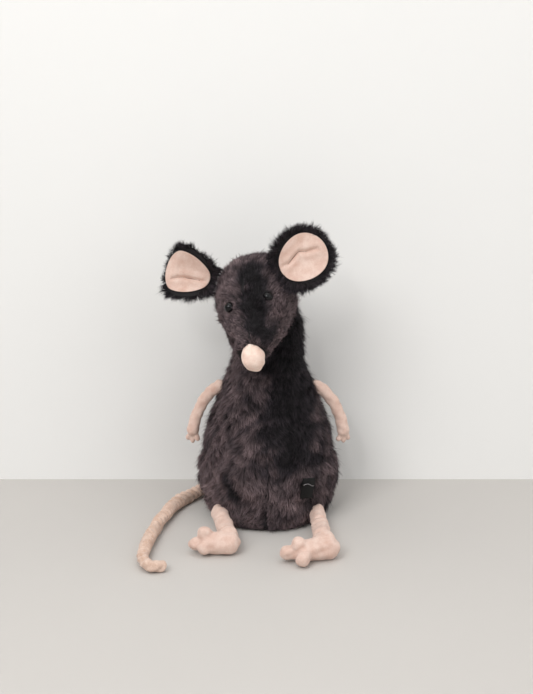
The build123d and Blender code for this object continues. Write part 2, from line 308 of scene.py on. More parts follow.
@dataclass(frozen=True)
class PlushPile:
    """Modacrylic long pile: matt hairs, near black at the foot and greyer at the tip; the dark foot is partly
    the pile's own colour and partly painted shade deep in the pile.
    """

    name: str = "modacrylic_long_pile"
    root: str = "#080607"
    middle: str = "#1f1b1e"
    tip: str = "#4a4247"
    warm: str = "#917c7d"

    def build(self) -> bpy.types.Material:
        """Makes the material, which reads each hair's own 'pile' attribute: red runs from the foot to the
        tip, green is the tone with painted shade mixed in, and blue is how brown the tip is.
        """
        material, tree, shader = blank(self.name)
        pile = node(tree, "ShaderNodeAttribute", attribute_name="pile")
        split = node(tree, "ShaderNodeSeparateColor", {"Color": pile.outputs["Color"]})
        # Dark at each hair's foot: partly the pile's own colour, partly painted shade deep in the pile.
        ramp = node(tree, "ShaderNodeValToRGB", {"Fac": split.outputs["Red"]})
        ramp.color_ramp.elements[0].color = linear(self.root)
        ramp.color_ramp.elements[1].color = linear(self.tip)
        ramp.color_ramp.elements.new(0.55).color = linear(self.middle)
        warm = node(tree, "ShaderNodeMix", {
            0: split.outputs["Blue"], 6: ramp.outputs["Color"], 7: linear(self.warm),
        }, data_type="RGBA")
        # The tone scales the colour; it holds random variation and painted shade.
        shade = node(tree, "ShaderNodeMapRange", {
            "Value": split.outputs["Green"], "To Min": 0.25, "To Max": 1.75,
        })
        tint = node(tree, "ShaderNodeVectorMath", {0: warm.outputs[2]}, operation="SCALE")
        tree.links.new(shade.outputs["Result"], tint.inputs["Scale"])
        tree.links.new(tint.outputs["Vector"], shader.inputs["Base Color"])
        shader.inputs["Roughness"].default_value = 0.62
        shader.inputs["Specular IOR Level"].default_value = 0.2
        return material


@dataclass(frozen=True)
class Backing:
    """The pile's dense foot on its knitted ground: dark, matt and slightly cloudy."""

    name: str = "knitted_pile_ground"
    dark: str = "#0b090a"
    light: str = "#1a1618"

    def build(self) -> bpy.types.Material:
        """Makes the material."""
        material, tree, shader = blank(self.name)
        spot = node(tree, "ShaderNodeTexCoord")
        cloud = node(tree, "ShaderNodeTexNoise", {
            "Vector": spot.outputs["Object"], "Scale": 1 / (6 * MM), "Detail": 4.0,
        })
        ramp = node(tree, "ShaderNodeValToRGB", {"Fac": cloud.outputs["Fac"]})
        ramp.color_ramp.elements[0].color = linear(self.dark)
        ramp.color_ramp.elements[1].color = linear(self.light)
        tree.links.new(ramp.outputs["Color"], shader.inputs["Base Color"])
        shader.inputs["Roughness"].default_value = 0.9
        return material


@dataclass(frozen=True)
class Velour:
    """Brushed polyester velour: a short dense nap that scatters light and shows soft marks."""

    name: str
    base: str
    deep: str
    nap_mm: float = 0.45
    cloud_mm: float = 9.0
    nap_depth: float = 0.55

    def build(self) -> bpy.types.Material:
        """Makes the material."""
        material, tree, shader = blank(self.name)
        spot = node(tree, "ShaderNodeTexCoord")
        cloud = node(tree, "ShaderNodeTexNoise", {
            "Vector": spot.outputs["Object"], "Scale": 1 / (self.cloud_mm * MM), "Detail": 5.0,
            "Roughness": 0.6,
        })
        nap = node(tree, "ShaderNodeTexNoise", {
            "Vector": spot.outputs["Object"], "Scale": 1 / (self.nap_mm * MM), "Detail": 3.0,
            "Roughness": 0.7,
        })
        both = node(tree, "ShaderNodeMath", {
            0: cloud.outputs["Fac"], 1: nap.outputs["Fac"],
        }, operation="MULTIPLY")
        ramp = node(tree, "ShaderNodeValToRGB", {"Fac": both.outputs["Value"]})
        ramp.color_ramp.elements[0].position = 0.12
        ramp.color_ramp.elements[0].color = linear(self.deep)
        ramp.color_ramp.elements[1].position = 0.36
        ramp.color_ramp.elements[1].color = linear(self.base)
        relief = node(tree, "ShaderNodeBump", {
            "Strength": self.nap_depth, "Distance": 0.35 * MM, "Height": nap.outputs["Fac"],
        })
        tree.links.new(ramp.outputs["Color"], shader.inputs["Base Color"])
        tree.links.new(relief.outputs["Normal"], shader.inputs["Normal"])
        shader.inputs["Roughness"].default_value = 0.85
        shader.inputs["Sheen Weight"].default_value = 0.35
        shader.inputs["Sheen Roughness"].default_value = 0.5
        shader.inputs["Sheen Tint"].default_value = linear("#fff3ec")
        return material


@dataclass(frozen=True)
class Bead:
    """Polished acrylic bead, as a safety eye is: black all through, with a clear sharp gloss."""

    name: str = "polished_acrylic_bead"
    colour: str = "#050405"

    def build(self) -> bpy.types.Material:
        """Makes the material."""
        material, tree, shader = blank(self.name)
        spot = node(tree, "ShaderNodeTexCoord")
        handling = node(tree, "ShaderNodeTexNoise", {
            "Vector": spot.outputs["Object"], "Scale": 1 / (1.5 * MM), "Detail": 2.0,
        })
        polish = node(tree, "ShaderNodeMapRange", {
            "Value": handling.outputs["Fac"], "To Min": 0.02, "To Max": 0.06,
        })
        tree.links.new(polish.outputs["Result"], shader.inputs["Roughness"])
        shader.inputs["Base Color"].default_value = linear(self.colour)
        shader.inputs["IOR"].default_value = 1.49
        shader.inputs["Specular IOR Level"].default_value = 0.3
        return material


@dataclass(frozen=True)
class Satin:
    """Woven polyester satin: fine parallel threads that give a soft streaked gloss."""

    name: str
    dark: str
    light: str
    thread_mm: float = 0.3

    def build(self) -> bpy.types.Material:
        """Makes the material; the threads are drawn 0.3 mm apart so that they show."""
        material, tree, shader = blank(self.name)
        spot = node(tree, "ShaderNodeTexCoord")
        threads = node(tree, "ShaderNodeTexWave", {
            "Vector": spot.outputs["Object"], "Scale": 1 / (self.thread_mm * MM * 20), "Distortion": 1.5,
        }, bands_direction="Z")
        ramp = node(tree, "ShaderNodeValToRGB", {"Fac": threads.outputs["Fac"]})
        ramp.color_ramp.elements[0].color = linear(self.dark)
        ramp.color_ramp.elements[1].color = linear(self.light)
        relief = node(tree, "ShaderNodeBump", {
            "Strength": 0.4, "Distance": 0.08 * MM, "Height": threads.outputs["Fac"],
        })
        tree.links.new(ramp.outputs["Color"], shader.inputs["Base Color"])
        tree.links.new(relief.outputs["Normal"], shader.inputs["Normal"])
        shader.inputs["Roughness"].default_value = 0.55
        shader.inputs["Specular IOR Level"].default_value = 0.25
        return material


@dataclass(frozen=True)
class Grain:
    """A plain matt or moulded finish with a fine uneven grain, for inner pieces and the stage."""

    name: str
    dark: str
    light: str
    grain_mm: float
    rough: float = 0.8

    def build(self) -> bpy.types.Material:
        """Makes the material."""
        material, tree, shader = blank(self.name)
        spot = node(tree, "ShaderNodeTexCoord")
        grain = node(tree, "ShaderNodeTexNoise", {
            "Vector": spot.outputs["Object"], "Scale": 1 / (self.grain_mm * MM), "Detail": 3.0,
        })
        ramp = node(tree, "ShaderNodeValToRGB", {"Fac": grain.outputs["Fac"]})
        ramp.color_ramp.elements[0].color = linear(self.dark)
        ramp.color_ramp.elements[1].color = linear(self.light)
        tree.links.new(ramp.outputs["Color"], shader.inputs["Base Color"])
        shader.inputs["Roughness"].default_value = self.rough
        return material


def dress(piece: bpy.types.Object, material: bpy.types.Material) -> None:
    """Gives a piece one material."""
    piece.data.materials.clear()
    piece.data.materials.append(material)


# ------------------------------------------------------------------ pile


@dataclass(frozen=True)
class Hair:
    """How one patch of pile grows: its length, lie and density."""

    length: float = 9.0 * MM
    width: float = 0.4 * MM
    per_cm2: float = 270
    lift_deg: float = 24
    droop_deg: float = 18
    clump: float = 4 * MM
    gather: float = 0.2

    def grow(
        self,
        name: str,
        skin: bpy.types.Object,
        comb: Rule,
        material: bpy.types.Material,
        keep: Optional[Rule] = None,
        trim: Optional[Rule] = None,
        warm: Optional[Rule] = None,
        seed: int = 1,
    ) -> bpy.types.Object:
        """Grows hairs on a skin as narrow tapered blades, gathered into soft locks.

        Args:
            name: The pile's name.
            skin: What it grows on.
            comb: The way the pile is brushed at each point; only its part along the skin counts.
            material: The pile's finish.
            keep: True where the pile grows.
            trim: Length of the pile at each point, as a share of the full length.
            warm: How brown the pile's tips are at each point, up to 1; below 0, how far painted shade darkens
                the pile.
            seed: Which arrangement.

        Returns:
            The pile as one mesh.
        """
        rng = np.random.default_rng(seed)
        mesh = skin.data
        mesh.calc_loop_triangles()
        tris = np.empty(len(mesh.loop_triangles) * 3, dtype=np.int32)
        mesh.loop_triangles.foreach_get("vertices", tris)
        tris = tris.reshape(-1, 3)
        spots, outward = coords(mesh), normals(mesh)
        a, b, c = (spots[tris[:, k]] for k in range(3))
        areas = np.linalg.norm(np.cross(b - a, c - a), axis=1) / 2
        count = int(areas.sum() * 1e4 * self.per_cm2)
        pick = rng.choice(len(tris), size=count, p=areas / areas.sum())
        u, v = rng.random(count), rng.random(count)
        flip = u + v > 1
        u[flip], v[flip] = 1 - u[flip], 1 - v[flip]
        weights = np.stack([1 - u - v, u, v], axis=1)[..., None]
        feet = (spots[tris[pick]] * weights).sum(axis=1)
        up = unit((outward[tris[pick]] * weights).sum(axis=1))
        if keep is not None:
            grown = keep(feet)
            feet, up = feet[grown], up[grown]
        count = len(feet)

        lie = comb(feet)
        lie = unit(lie - up * (lie * up).sum(axis=1, keepdims=True))
        across = np.cross(up, lie)
        tree_size = max(8, int(count / self.per_cm2 / (self.clump * 100) ** 2))
        chosen = rng.choice(count, size=min(tree_size, count), replace=False)
        tree = kdtree.KDTree(len(chosen))
        for index, hair in enumerate(chosen):
            tree.insert(feet[hair], index)
        tree.balance()
        lock = np.array([tree.find(foot)[1] for foot in feet])
        swing = ripple(feet, 34 * MM, seed + 50) * 0.35
        swing += rng.normal(0, 0.22, len(chosen))[lock] + rng.normal(0, 0.15, count)
        lie = unit(lie * np.cos(swing)[:, None] + across * np.sin(swing)[:, None])
        across = np.cross(up, lie)

        length = self.length * rng.uniform(0.72, 1.12, count)
        length *= 1 + 0.16 * rng.normal(0, 1, len(chosen))[lock]
        if trim is not None:
            length *= trim(feet)
        stray = rng.random(count) < 0.06
        length[stray] *= 1.25
        lift = self.lift_deg + rng.normal(0, 7, count) + rng.normal(0, 8, len(chosen))[lock]
        lift = np.radians(lift + 22 * stray)
        droop = lift - np.radians(self.droop_deg)
        first = lie * np.cos(lift)[:, None] + up * np.sin(lift)[:, None]
        second = lie * np.cos(droop)[:, None] + up * np.sin(droop)[:, None]
        knee = feet + first * (length * 0.5)[:, None]
        end = knee + second * (length * 0.5)[:, None]
        heart = chosen[lock]
        pull = self.gather * rng.uniform(0.4, 1.0, count)[:, None]
        end += (end[heart] - end) * pull
        knee += (knee[heart] - knee) * pull * 0.35

        roll = rng.normal(0, 0.6, count)
        blade = across * np.cos(roll)[:, None] + np.cross(first, across) * np.sin(roll)[:, None]
        half = blade * (self.width / 2) * rng.uniform(0.7, 1.2, count)[:, None]
        sunk = feet - up * 0.4 * MM
        places = np.stack([sunk - half, sunk + half, knee + half * 0.8, knee - half * 0.8, end], axis=1)
        pile = bpy.data.meshes.new(name)
        pile.vertices.add(count * 5)
        pile.vertices.foreach_set("co", places.reshape(-1))
        base = np.arange(count, dtype=np.int32)[:, None] * 5
        loops = (base + np.array([0, 1, 2, 3, 3, 2, 4], dtype=np.int32)).reshape(-1)
        pile.loops.add(count * 7)
        pile.loops.foreach_set("vertex_index", loops)
        starts = np.arange(count, dtype=np.int32)[:, None] * 7 + np.array([0, 4], dtype=np.int32)
        starts = starts.reshape(-1)
        pile.polygons.add(count * 2)
        pile.polygons.foreach_set("loop_start", starts)
        pile.update(calc_edges=True)
        pile.validate()

        # Below zero the warm field is painted shade that lowers each hair's tone; above zero it browns the
        # tips.
        brown = np.zeros(count) if warm is None else warm(feet)
        tone = 0.5 + 0.2 * rng.normal(0, 1, count) + 0.1 * rng.normal(0, 1, len(chosen))[lock]
        tone = np.clip(tone + 0.42 * np.minimum(brown, 0), 0.02, 1)
        brown = np.clip(brown, 0, 1)
        along = np.array([0.0, 0.0, 0.55, 0.55, 1.0])
        colours = np.empty((count, 5, 4))
        colours[..., 0] = along[None, :]
        colours[..., 1] = tone[:, None]
        colours[..., 2] = brown[:, None] * along[None, :]
        colours[..., 3] = 1
        store = pile.attributes.new("pile", "FLOAT_COLOR", "POINT")
        store.data.foreach_set("color", colours.reshape(-1))
        piece = bpy.data.objects.new(name, pile)
        bpy.context.scene.collection.objects.link(piece)
        dress(piece, material)
        return piece


@dataclass
class Workshop:
    """The finishes that the sub-assemblies share."""

    pile: bpy.types.Material = field(default_factory=lambda: PlushPile().build())
    ground: bpy.types.Material = field(default_factory=lambda: Backing().build())
    pink: bpy.types.Material = field(
        default_factory=lambda: Velour("brushed_velour_pink", "#dfc7ba", "#c8a392").build())
    nose: bpy.types.Material = field(
        default_factory=lambda: Velour("brushed_velour_pale", "#f4dfd1", "#e0bba8").build())
    tail: bpy.types.Material = field(
        default_factory=lambda: Velour("gathered_velour", "#dcc3b3", "#b8957f", cloud_mm=6).build())
    bead: bpy.types.Material = field(default_factory=lambda: Bead().build())
    satin: bpy.types.Material = field(
        default_factory=lambda: Satin("woven_polyester_satin", "#020202", "#070607").build())
    stitch: bpy.types.Material = field(
        default_factory=lambda: Satin("spun_thread_grey", "#6c696a", "#9a9697", 0.2).build())
    cotton: bpy.types.Material = field(
        default_factory=lambda: Grain("woven_cotton_lining", "#c4c1b8", "#dedbd2", 0.5, 0.9).build())
    beads: bpy.types.Material = field(
        default_factory=lambda: Grain("polyethylene_pellets", "#cfd1d2", "#f0f1f2", 3.0, 0.4).build())
    nylon: bpy.types.Material = field(
        default_factory=lambda: Grain("moulded_nylon_washer", "#d2d0cb", "#e4e2dd", 1.0, 0.5).build())


# ------------------------------------------------------------------ sub-assemblies


def profile_through(knots: Sequence[tuple[float, float]]) -> Rule:
    """A smooth outline through (radius, height) knots, whose two ends lie on the axis.

    Args:
        knots: Radius and height of each knot, in millimetres.

    Returns:
        A function from 0..1 along the outline to radius and height in metres.
    """
    points = np.array(knots, dtype=float) * MM
    steps = np.concatenate([[0], np.cumsum(np.linalg.norm(np.diff(points, axis=0), axis=1))])
    steps /= steps[-1]
    slopes = np.gradient(points, steps, axis=0)
    slopes[0, 1] = slopes[-1, 1] = 0

    def at(v: Array) -> Array:
        v = np.clip(v, 0, 1)
        k = np.clip(np.searchsorted(steps, v, side="right") - 1, 0, len(steps) - 2)
        width = (steps[k + 1] - steps[k])[:, None]
        t = ((v - steps[k]) / (steps[k + 1] - steps[k]))[:, None]
        h00, h10 = 2 * t**3 - 3 * t**2 + 1, t**3 - 2 * t**2 + t
        h01, h11 = -2 * t**3 + 3 * t**2, t**3 - t**2
        return (h00 * points[k] + h10 * width * slopes[k]
                + h01 * points[k + 1] + h11 * width * slopes[k + 1])

    return at


def under_label(p: Array) -> Array:
    """Where the side label presses the pile flat."""
    way = p / MM - np.array(Label.middle_mm)
    return (np.abs(way[:, 0]) < 6) & (np.abs(way[:, 2]) < 10) & (way[:, 1] < 14)


@dataclass
class Torso:
    """The pear-shaped body: four plush panels and a base over stuffing and pellets."""

    shop: Workshop
    outline_mm: tuple = (
        (0, 0.3), (30, 0.3), (52, 0.8), (58, 5), (62, 14), (64.8, 27), (65.5, 41), (64.2, 58), (59.2, 79),
        (52, 101), (43.5, 123), (36.5, 142), (33, 156), (30.5, 168), (25, 177), (13, 182), (0, 183),
    )
    belly_seam_mm: float = 2.2
    deepest_mm: float = 2.9  # of any seam or fold; less towards the flanks

    def shape(self) -> bpy.types.Object:
        """Makes the torso's skin, with its sag, seams and soft folds."""
        outline = profile_through(self.outline_mm)

        def place(u: Array, v: Array) -> Array:
            ring = outline(v)
            turn = 2 * math.pi * u
            ahead = ring[:, 0] * np.cos(turn)
            ahead += 0.14 * np.maximum(ahead, 0) * np.clip(1 - ring[:, 1] / (26 * MM), 0, 1)
            return np.stack([ring[:, 0] * np.sin(turn) * 0.975, -ahead, ring[:, 1]], axis=1)

        skin = wrapped("torso_plush", 120, 110, place)
        swell(skin, 2.5, 1.5 * MM, hold=self.held)
        self.fold(skin)
        return skin

    @staticmethod
    def from_fold(x: Array, z: Array) -> Array:
        """How far places lie to the side of the belly's slanting fold, all in millimetres."""
        return x + 37 - (57 - z) * 0.335

    @staticmethod
    def held(p: Array) -> Array:
        """The seat rests on the table and the neck is tied, so neither swells."""
        return np.clip(1 - p[:, 2] / (14 * MM), 0, 1) + (p[:, 2] > 165 * MM)

    def fold(self, skin: bpy.types.Object) -> None:
        """Presses the seams, dents and folds into the skin."""
        spots, up = coords(skin.data), normals(skin.data)
        x, y, z = spots.T / MM
        off_floor = np.clip((z - 4) / 10, 0, 1)
        press = 1.3 * ripple(spots, 42 * MM, 11) + 0.7 * ripple(spots, 19 * MM, 12)
        front = y < 0
        press -= self.belly_seam_mm * bump(x - BELLY_SEAM_X_MM, 3.2) * front * np.clip((110 - z) / 40, 0, 1)
        press -= 1.4 * bump(x, 3) * ~front
        press -= 1.6 * bump(z - 64 - 5 * np.cos(x / 30), 5) * front
        press -= 1.2 * bump(y - 2, 3.2) * (z < 150)
        press -= 4.0 * bump(self.from_fold(x, z), 5) * front * bump(z - 38, 15)
        press -= 2.0 * bump(z - 22 - x * 0.05, 4) * front * (x < -12)
        press = np.maximum(press, 1.6 * (x / 65) ** 2 - self.deepest_mm)
        set_coords(skin.data, spots + up * (press * off_floor * MM)[:, None])

    def build(self) -> list[bpy.types.Object]:
        """Builds the torso's skin and its pile, panel by panel."""
        skin = self.shape()
        dress(skin, self.shop.ground)
        pieces = [skin]
        for end, front in (("front", True), ("back", False)):
            for side in Side:
                def keep(p: Array, front: bool = front, side: Side = side) -> Array:
                    here = (p[:, 1] < 0) == front
                    return here & ((p[:, 0] * side.value) >= 0) & (p[:, 2] > 1.5 * MM) & ~under_label(p)

                pile = Hair().grow(
                    f"torso_{end}_{side.word}_pile", skin, self.comb, self.shop.pile, keep=keep,
                    trim=self.trim, warm=self.warm, seed=20 + 2 * front + (side is Side.LEFT),
                )
                pieces.append(pile)
        for piece in pieces:
            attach(piece, "torso")
        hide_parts("torso_base_panel", "torso_stuffing", *(
            f"torso_{end}_{side.word}_panel" for end in ("front", "back") for side in Side))
        return pieces

    @staticmethod
    def comb(p: Array) -> Array:
        """The torso's pile is brushed down, in soft waves."""
        way = np.tile([0.0, 0.0, -1.0], (len(p), 1))
        way[:, 0] += 0.55 * ripple(p, 60 * MM, 31)
        way[:, 1] += 0.35 * ripple(p, 50 * MM, 32)
        return way

    @staticmethod
    def trim(p: Array) -> Array:
        """The pile is shorter near the seat, round the belly and along its seam."""
        x, z = p[:, 0] / MM, p[:, 2] / MM
        seam = 1 - 0.35 * bump(x - BELLY_SEAM_X_MM, 3) * (p[:, 1] < 0) * (z < 100)
        return np.clip(0.35 + z / 22, 0.35, 1) * seam * (1 - 0.12 * bump(z - 30, 25))

    @staticmethod
    def warm(p: Array) -> Array:
        """The belly and right flank are browner and the belly seam darker; painted shade darkens the breast's
        left, where the pile lies away from the light, the slanting fold, and the seat's rim by the table.
        """
        x, y, z = p.T / MM
        belly = np.clip((62 - z + 5 * ripple(p, 40 * MM, 41)) / 6, 0, 1) * (y < 10)
        lean = 17 + 0.2 * np.clip(90 - z, 0, 40) + 5 * ripple(p, 24 * MM, 43)
        # Painted shade on the breast's left, where the pile lies away from the light.
        painted_chest_shade = bump(x - lean, 17) * np.clip((z - 58) / 14, 0, 1) * (y < 0)
        # Painted shade in the slanting fold.
        fold = bump(Torso.from_fold(x, z), 4.5) * bump(z - 38, 14) * (y < 0)
        # Painted shade round the seat, where the body meets the table.
        rim = np.clip((12 - z) / 8, 0, 1)
        flank = 0.4 + 0.2 * np.clip(-x / 50, -0.5, 1) + 0.16 * belly + 0.3 * ripple(p, 16 * MM, 42)
        seam = bump(x - BELLY_SEAM_X_MM, 1.5) * (y < 0) * (z < 100)
        return flank - 1.35 * painted_chest_shade - 1.5 * fold - 0.5 * rim - 0.3 * seam


@dataclass
class Neck:
    """A round collar of plush about the neck's pivot, which the head turns on."""

    shop: Workshop
    radius: float = 30.5 * MM
    centre: Vector = field(default_factory=lambda: Vector((-0.5, -1.5, 181)) * MM)

    def build(self) -> list[bpy.types.Object]:
        """Builds the collar's skin and pile."""
        def place(u: Array, v: Array) -> Array:
            turn, rise = 2 * math.pi * u, math.pi * (v - 0.5)
            ring = np.stack([np.cos(rise) * np.sin(turn), -np.cos(rise) * np.cos(turn), np.sin(rise)], axis=1)
            return np.array(self.centre) + ring * self.radius

        skin = wrapped("neck_plush", 72, 36, place)
        spots = coords(skin.data)
        set_coords(skin.data, spots + normals(skin.data) * (0.8 * MM * ripple(spots, 20 * MM, 61))[:, None])
        dress(skin, self.shop.ground)
        # The collar's pile takes the torso's tone, with its painted shade.
        pile = Hair(length=10 * MM).grow(
            "neck_pile", skin, Torso.comb, self.shop.pile, seed=63, warm=Torso.warm,
        )
        for piece in (skin, pile):
            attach(piece, "neck")
        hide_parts("neck_stuffing")
        return [skin, pile]


@dataclass
class Head:
    """The skull and snout with its nose and two bead eyes."""

    shop: Workshop
    centre_mm: tuple = (-11.0, -12.0, 216.0)
    yaw_deg: float = 0
    pitch_deg: float = 36
    roll_deg: float = 20
    outline_mm: tuple = (
        (0, -36), (16, -32.5), (29, -21), (35, -7), (36, 3), (34.8, 14), (29.6, 33), (25.0, 46),
        (20.5, 57), (16.5, 66), (13, 71.5), (6, 74), (0, 74.5),
    )
    eye_azimuth_deg: dict = field(default_factory=lambda: {1: 40, -1: 31})
    eye_station_mm: dict = field(default_factory=lambda: {1: 31.5, -1: 35.5})
    eye_ring_mm: float = 29

    def __post_init__(self) -> None:
        """Works out the head's own axes: X to its left, Y to the ridge and Z along the snout."""
        yaw, pitch, roll = (math.radians(a) for a in (self.yaw_deg, self.pitch_deg, self.roll_deg))
        snout = Vector((-math.sin(yaw) * math.cos(pitch), -math.cos(yaw) * math.cos(pitch), -math.sin(pitch)))
        level = Vector((math.cos(yaw), -math.sin(yaw), 0))
        ridge = snout.cross(level)
        side = level * math.cos(roll) + ridge * math.sin(roll)
        self.axes = np.array([side, snout.cross(side), snout])
        self.centre = np.array(self.centre_mm) * MM

    def out(self, local: Array) -> Array:
        """Points of the head's own frame, in the row frame."""
        return self.centre + local @ self.axes

    def leaned(self, local: Array) -> Array:
        """The same, with the snout's end leaned a little to the toy's right."""
        lean = 3 * MM * np.clip((local[:, 2] / MM - 30) / 48, 0, 1)
        return self.out(local - lean[:, None] * np.array([1.0, 0, 0]))

    def own(self, p: Array) -> Array:
        """Points of the row frame, in the head's own frame."""
        return (p - self.centre) @ self.axes.T

    def from_eye(self, p: Array, sign: int) -> Array:
        """How far each point of the row frame lies from an eye, in millimetres."""
        azimuth = math.radians(self.eye_azimuth_deg[sign]) * sign
        eye = np.array((
            self.eye_ring_mm * math.sin(azimuth), self.eye_ring_mm * math.cos(azimuth),
            self.eye_station_mm[sign],
        ))
        return np.linalg.norm(self.own(p) / MM - eye, axis=1)

    def shape(self) -> bpy.types.Object:
        """Makes the head's skin, with its brow, cheeks, seams and dents."""
        outline = profile_through(self.outline_mm)

        def place(u: Array, v: Array) -> Array:
            ring = outline(v)
            turn = 2 * math.pi * u
            local = np.stack([ring[:, 0] * np.sin(turn), ring[:, 0] * np.cos(turn), ring[:, 1]], axis=1)
            return self.leaned(local)

        skin = wrapped("head_plush", 96, 80, place)
        swell(skin, 2.0, 2 * MM)
        spots, up = coords(skin.data), normals(skin.data)
        x, y, z = self.own(spots).T / MM
        ridge = y > 0
        press = 0.9 * ripple(spots, 24 * MM, 71) + 0.5 * ripple(spots, 12 * MM, 72)
        press -= 1.5 * bump(x, 2.6) * ridge * np.clip((z + 20) / 20, 0, 1)
        press += 1.6 * bump(np.abs(x) - 17, 9) * bump(z - 34, 14) * (y > -6)
        press -= 1.1 * bump(y + 15, 3) * (z > -8)
        press -= 1.6 * sum(bump(self.from_eye(spots, s), 6) for s in (-1, 1))
        set_coords(skin.data, spots + up * (press * MM)[:, None])
        return skin

    def comb(self, p: Array) -> Array:
        """The pile is brushed back from the nose, and away from the ridge on the brow."""
        x, y, _ = self.own(p).T
        parted = 0.5 * np.sign(x) * np.clip(y / (30 * MM), 0, 1)
        way = np.stack([parted, -0.25 * np.ones(len(p)), -np.ones(len(p))], axis=1)
        way[:, 0] += 0.4 * ripple(p, 40 * MM, 73)
        way[:, 1] += 0.4 * ripple(p, 34 * MM, 74)
        return way @ self.axes

    def trim(self, p: Array) -> Array:
        """The pile shortens towards the nose and round the eyes."""
        z = self.own(p)[:, 2] / MM
        near_eye = sum(bump(self.from_eye(p, s), 7) for s in (-1, 1))
        return np.clip(1.05 - (z - 18) / 75, 0.5, 1) * (1 - 0.6 * near_eye)

    def warm(self, p: Array) -> Array:
        """Painted shade runs beside the ridge on the toy's left, where the ridge's pile shades the fur from
        the light, and the back of the head is mottled darker.
        """
        x, y, z = self.own(p).T / MM
        # Painted shade beside the ridge.
        painted_ridge_shade = bump(x - 8 - 2.5 * ripple(p, 14 * MM, 77), 8) * np.clip((z + 4) / 12, 0, 1) * (y > 0)
        painted_ridge_shade *= np.clip((74 - z) / 10, 0, 1)
        crown = np.clip((-6 - z) / 14, 0, 1) * (0.5 + 0.5 * ripple(p, 9 * MM, 76))
        return 0.62 - 1.9 * painted_ridge_shade - 0.5 * crown + 0.2 * ripple(p, 13 * MM, 75)

    def keep(self, p: Array) -> Array:
        """No pile grows under the nose, the eyes or inside the neck."""
        z = self.own(p)[:, 2] / MM
        eyes = [self.from_eye(p, s) < 5.2 for s in (-1, 1)]
        buried = np.linalg.norm(p - np.array(NECK_PIVOT_MM) * MM, axis=1) < 26 * MM
        return ~(eyes[0] | eyes[1] | buried | (z > 73))

    def build(self) -> list[bpy.types.Object]:
        """Builds the head, its pile, its nose and its eyes."""
        skin = self.shape()
        dress(skin, self.shop.ground)
        pieces = [skin]
        for side in Side:
            def keep(p: Array, side: Side = side) -> Array:
                return self.keep(p) & (self.own(p)[:, 0] * side.value >= 0)

            pieces.append(Hair(length=7 * MM, lift_deg=20, droop_deg=14, per_cm2=320, clump=3 * MM).grow(
                f"head_{side.word}_pile", skin, self.comb, self.shop.pile, keep=keep, trim=self.trim,
                warm=self.warm, seed=80 + (side is Side.LEFT),
            ))
        for piece in pieces:
            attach(piece, "head")
        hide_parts("head_back_panel", "head_chin_panel", "head_left_panel", "head_right_panel",
                    "head_stuffing", "neck_seam_thread")
        return pieces + [self.nose()] + self.eyes()

    def nose(self) -> bpy.types.Object:
        """The velour nose: a soft stub, gathered where it joins the snout."""
        outline = profile_through((
            (0, 62), (8, 63), (9.6, 68), (10.5, 73), (10.8, 77), (9.9, 82), (7.2, 86), (3.4, 88.1),
            (0, 88.5),
        ))

        def place(u: Array, v: Array) -> Array:
            ring = outline(v)
            turn = 2 * math.pi * u
            pleat = 1 + 0.025 * np.cos(9 * turn) * bump(ring[:, 1] / MM - 70, 5)
            ring[:, 0] *= pleat
            tall = ring[:, 0] * np.cos(turn) * 1.2 - 1.5 * MM * np.clip(ring[:, 1] / MM - 66, 0, 8) / 8
            return self.leaned(np.stack([ring[:, 0] * np.sin(turn) * 0.93, tall, ring[:, 1]], axis=1))

        nose = wrapped("nose_velour", 64, 40, place)
        spots = coords(nose.data)
        set_coords(nose.data, spots + normals(nose.data) * (0.35 * MM * ripple(spots, 9 * MM, 91))[:, None])
        dress(nose, self.shop.nose)
        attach(nose, "head")
        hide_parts("nose_cap", "nose_stuffing")
        return nose

    def eyes(self) -> list[bpy.types.Object]:
        """The two bead eyes, a little flattened where they press into the pile."""
        beads = []
        for side in Side:
            azimuth = math.radians(self.eye_azimuth_deg[side.value]) * side.value
            outward = np.array([math.sin(azimuth), math.cos(azimuth), 0.34])
            outward /= np.linalg.norm(outward)
            seat = np.array([math.sin(azimuth), math.cos(azimuth), 0]) * self.eye_ring_mm
            seat[2] = self.eye_station_mm[side.value]
            middle = self.out(seat * MM + outward * 1.6 * MM)
            turn = Vector(outward @ self.axes).to_track_quat("Z", "Y").to_matrix().to_4x4()
            shape = bmesh.new()
            bmesh.ops.create_uvsphere(shape, u_segments=40, v_segments=24, radius=4.7 * MM)
            for vert in shape.verts:
                if vert.co.z < 0:
                    vert.co.z *= 0.45
            bmesh.ops.transform(shape, matrix=Matrix.Translation(middle) @ turn, verts=shape.verts)
            bead = to_object(shape, f"eye_{side.word}_bead")
            dress(bead, self.shop.bead)
            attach(bead, "head")
            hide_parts(f"eye_{side.word}")
            beads.append(bead)
        return beads


